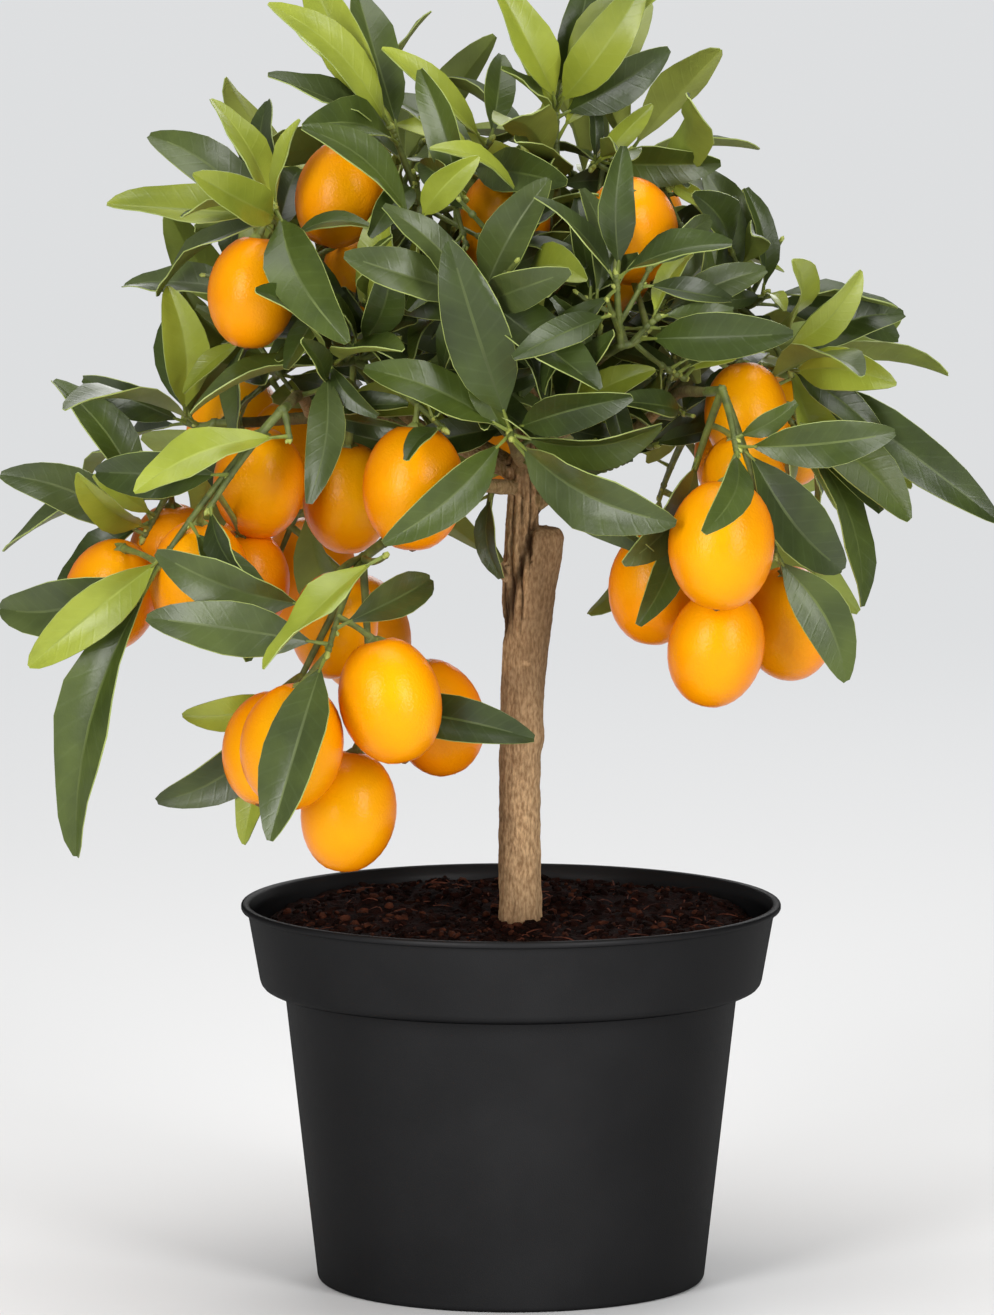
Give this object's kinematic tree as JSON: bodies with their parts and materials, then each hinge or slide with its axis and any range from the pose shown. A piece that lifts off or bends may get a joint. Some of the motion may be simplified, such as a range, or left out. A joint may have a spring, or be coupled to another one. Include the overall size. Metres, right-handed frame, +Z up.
{
  "type": "kumquat tree",
  "caption": "Young grafted kumquat tree in a round tapered plastic nursery pot: slender trunk, domed crown of pointed leaves, clusters of oval orange fruit.",
  "frame": {"origin": "centre of the pot's flat underside, on the surface that it stands on", "axes": "+X to the right of the tree's show side, +Y away from its viewer, +Z up"},
  "size_m": [0.3111, 0.2625, 0.414],
  "materials": {
    "pot": "satin",
    "soil": "matte",
    "bark": "matte",
    "foliage": "satin"
  },
  "bodies": {
    "root": {"pot": "pot", "soil": "soil", "trunk": "bark", "bough_leader": "bark", "bough_upper_left": "bark", "bough_left_top": "bark", "bough_left_middle": "bark", "bough_left_low": "bark", "bough_low_left": "bark", "bough_left_inner": "bark", "bough_front_middle": "bark", "bough_front_top": "bark", "bough_front_right": "bark", "bough_upper_right": "bark", "bough_right_middle": "bark", "bough_right_top": "bark", "bough_right_low": "bark", "bough_sprout": "bark", "bough_back_left": "bark", "bough_back_left_low": "bark", "bough_back_left_top": "bark", "bough_back_right": "bark", "bough_back_right_low": "bark", "bough_back_right_top": "bark", "bough_back_middle": "bark", "mass_leader": "foliage", "mass_upper_left": "foliage", "mass_left_top": "foliage", "mass_left_middle": "foliage", "mass_left_low": "foliage", "mass_low_left": "foliage", "mass_left_inner": "foliage", "mass_front_middle": "foliage", "mass_front_top": "foliage", "mass_front_right": "foliage", "mass_upper_right": "foliage", "mass_right_middle": "foliage", "mass_right_top": "foliage", "mass_right_low": "foliage", "mass_sprout": "foliage", "mass_back_left": "foliage", "mass_back_left_low": "foliage", "mass_back_left_top": "foliage", "mass_back_right": "foliage", "mass_back_right_low": "foliage", "mass_back_right_top": "foliage", "mass_back_middle": "foliage"}
  },
  "joints": []
}
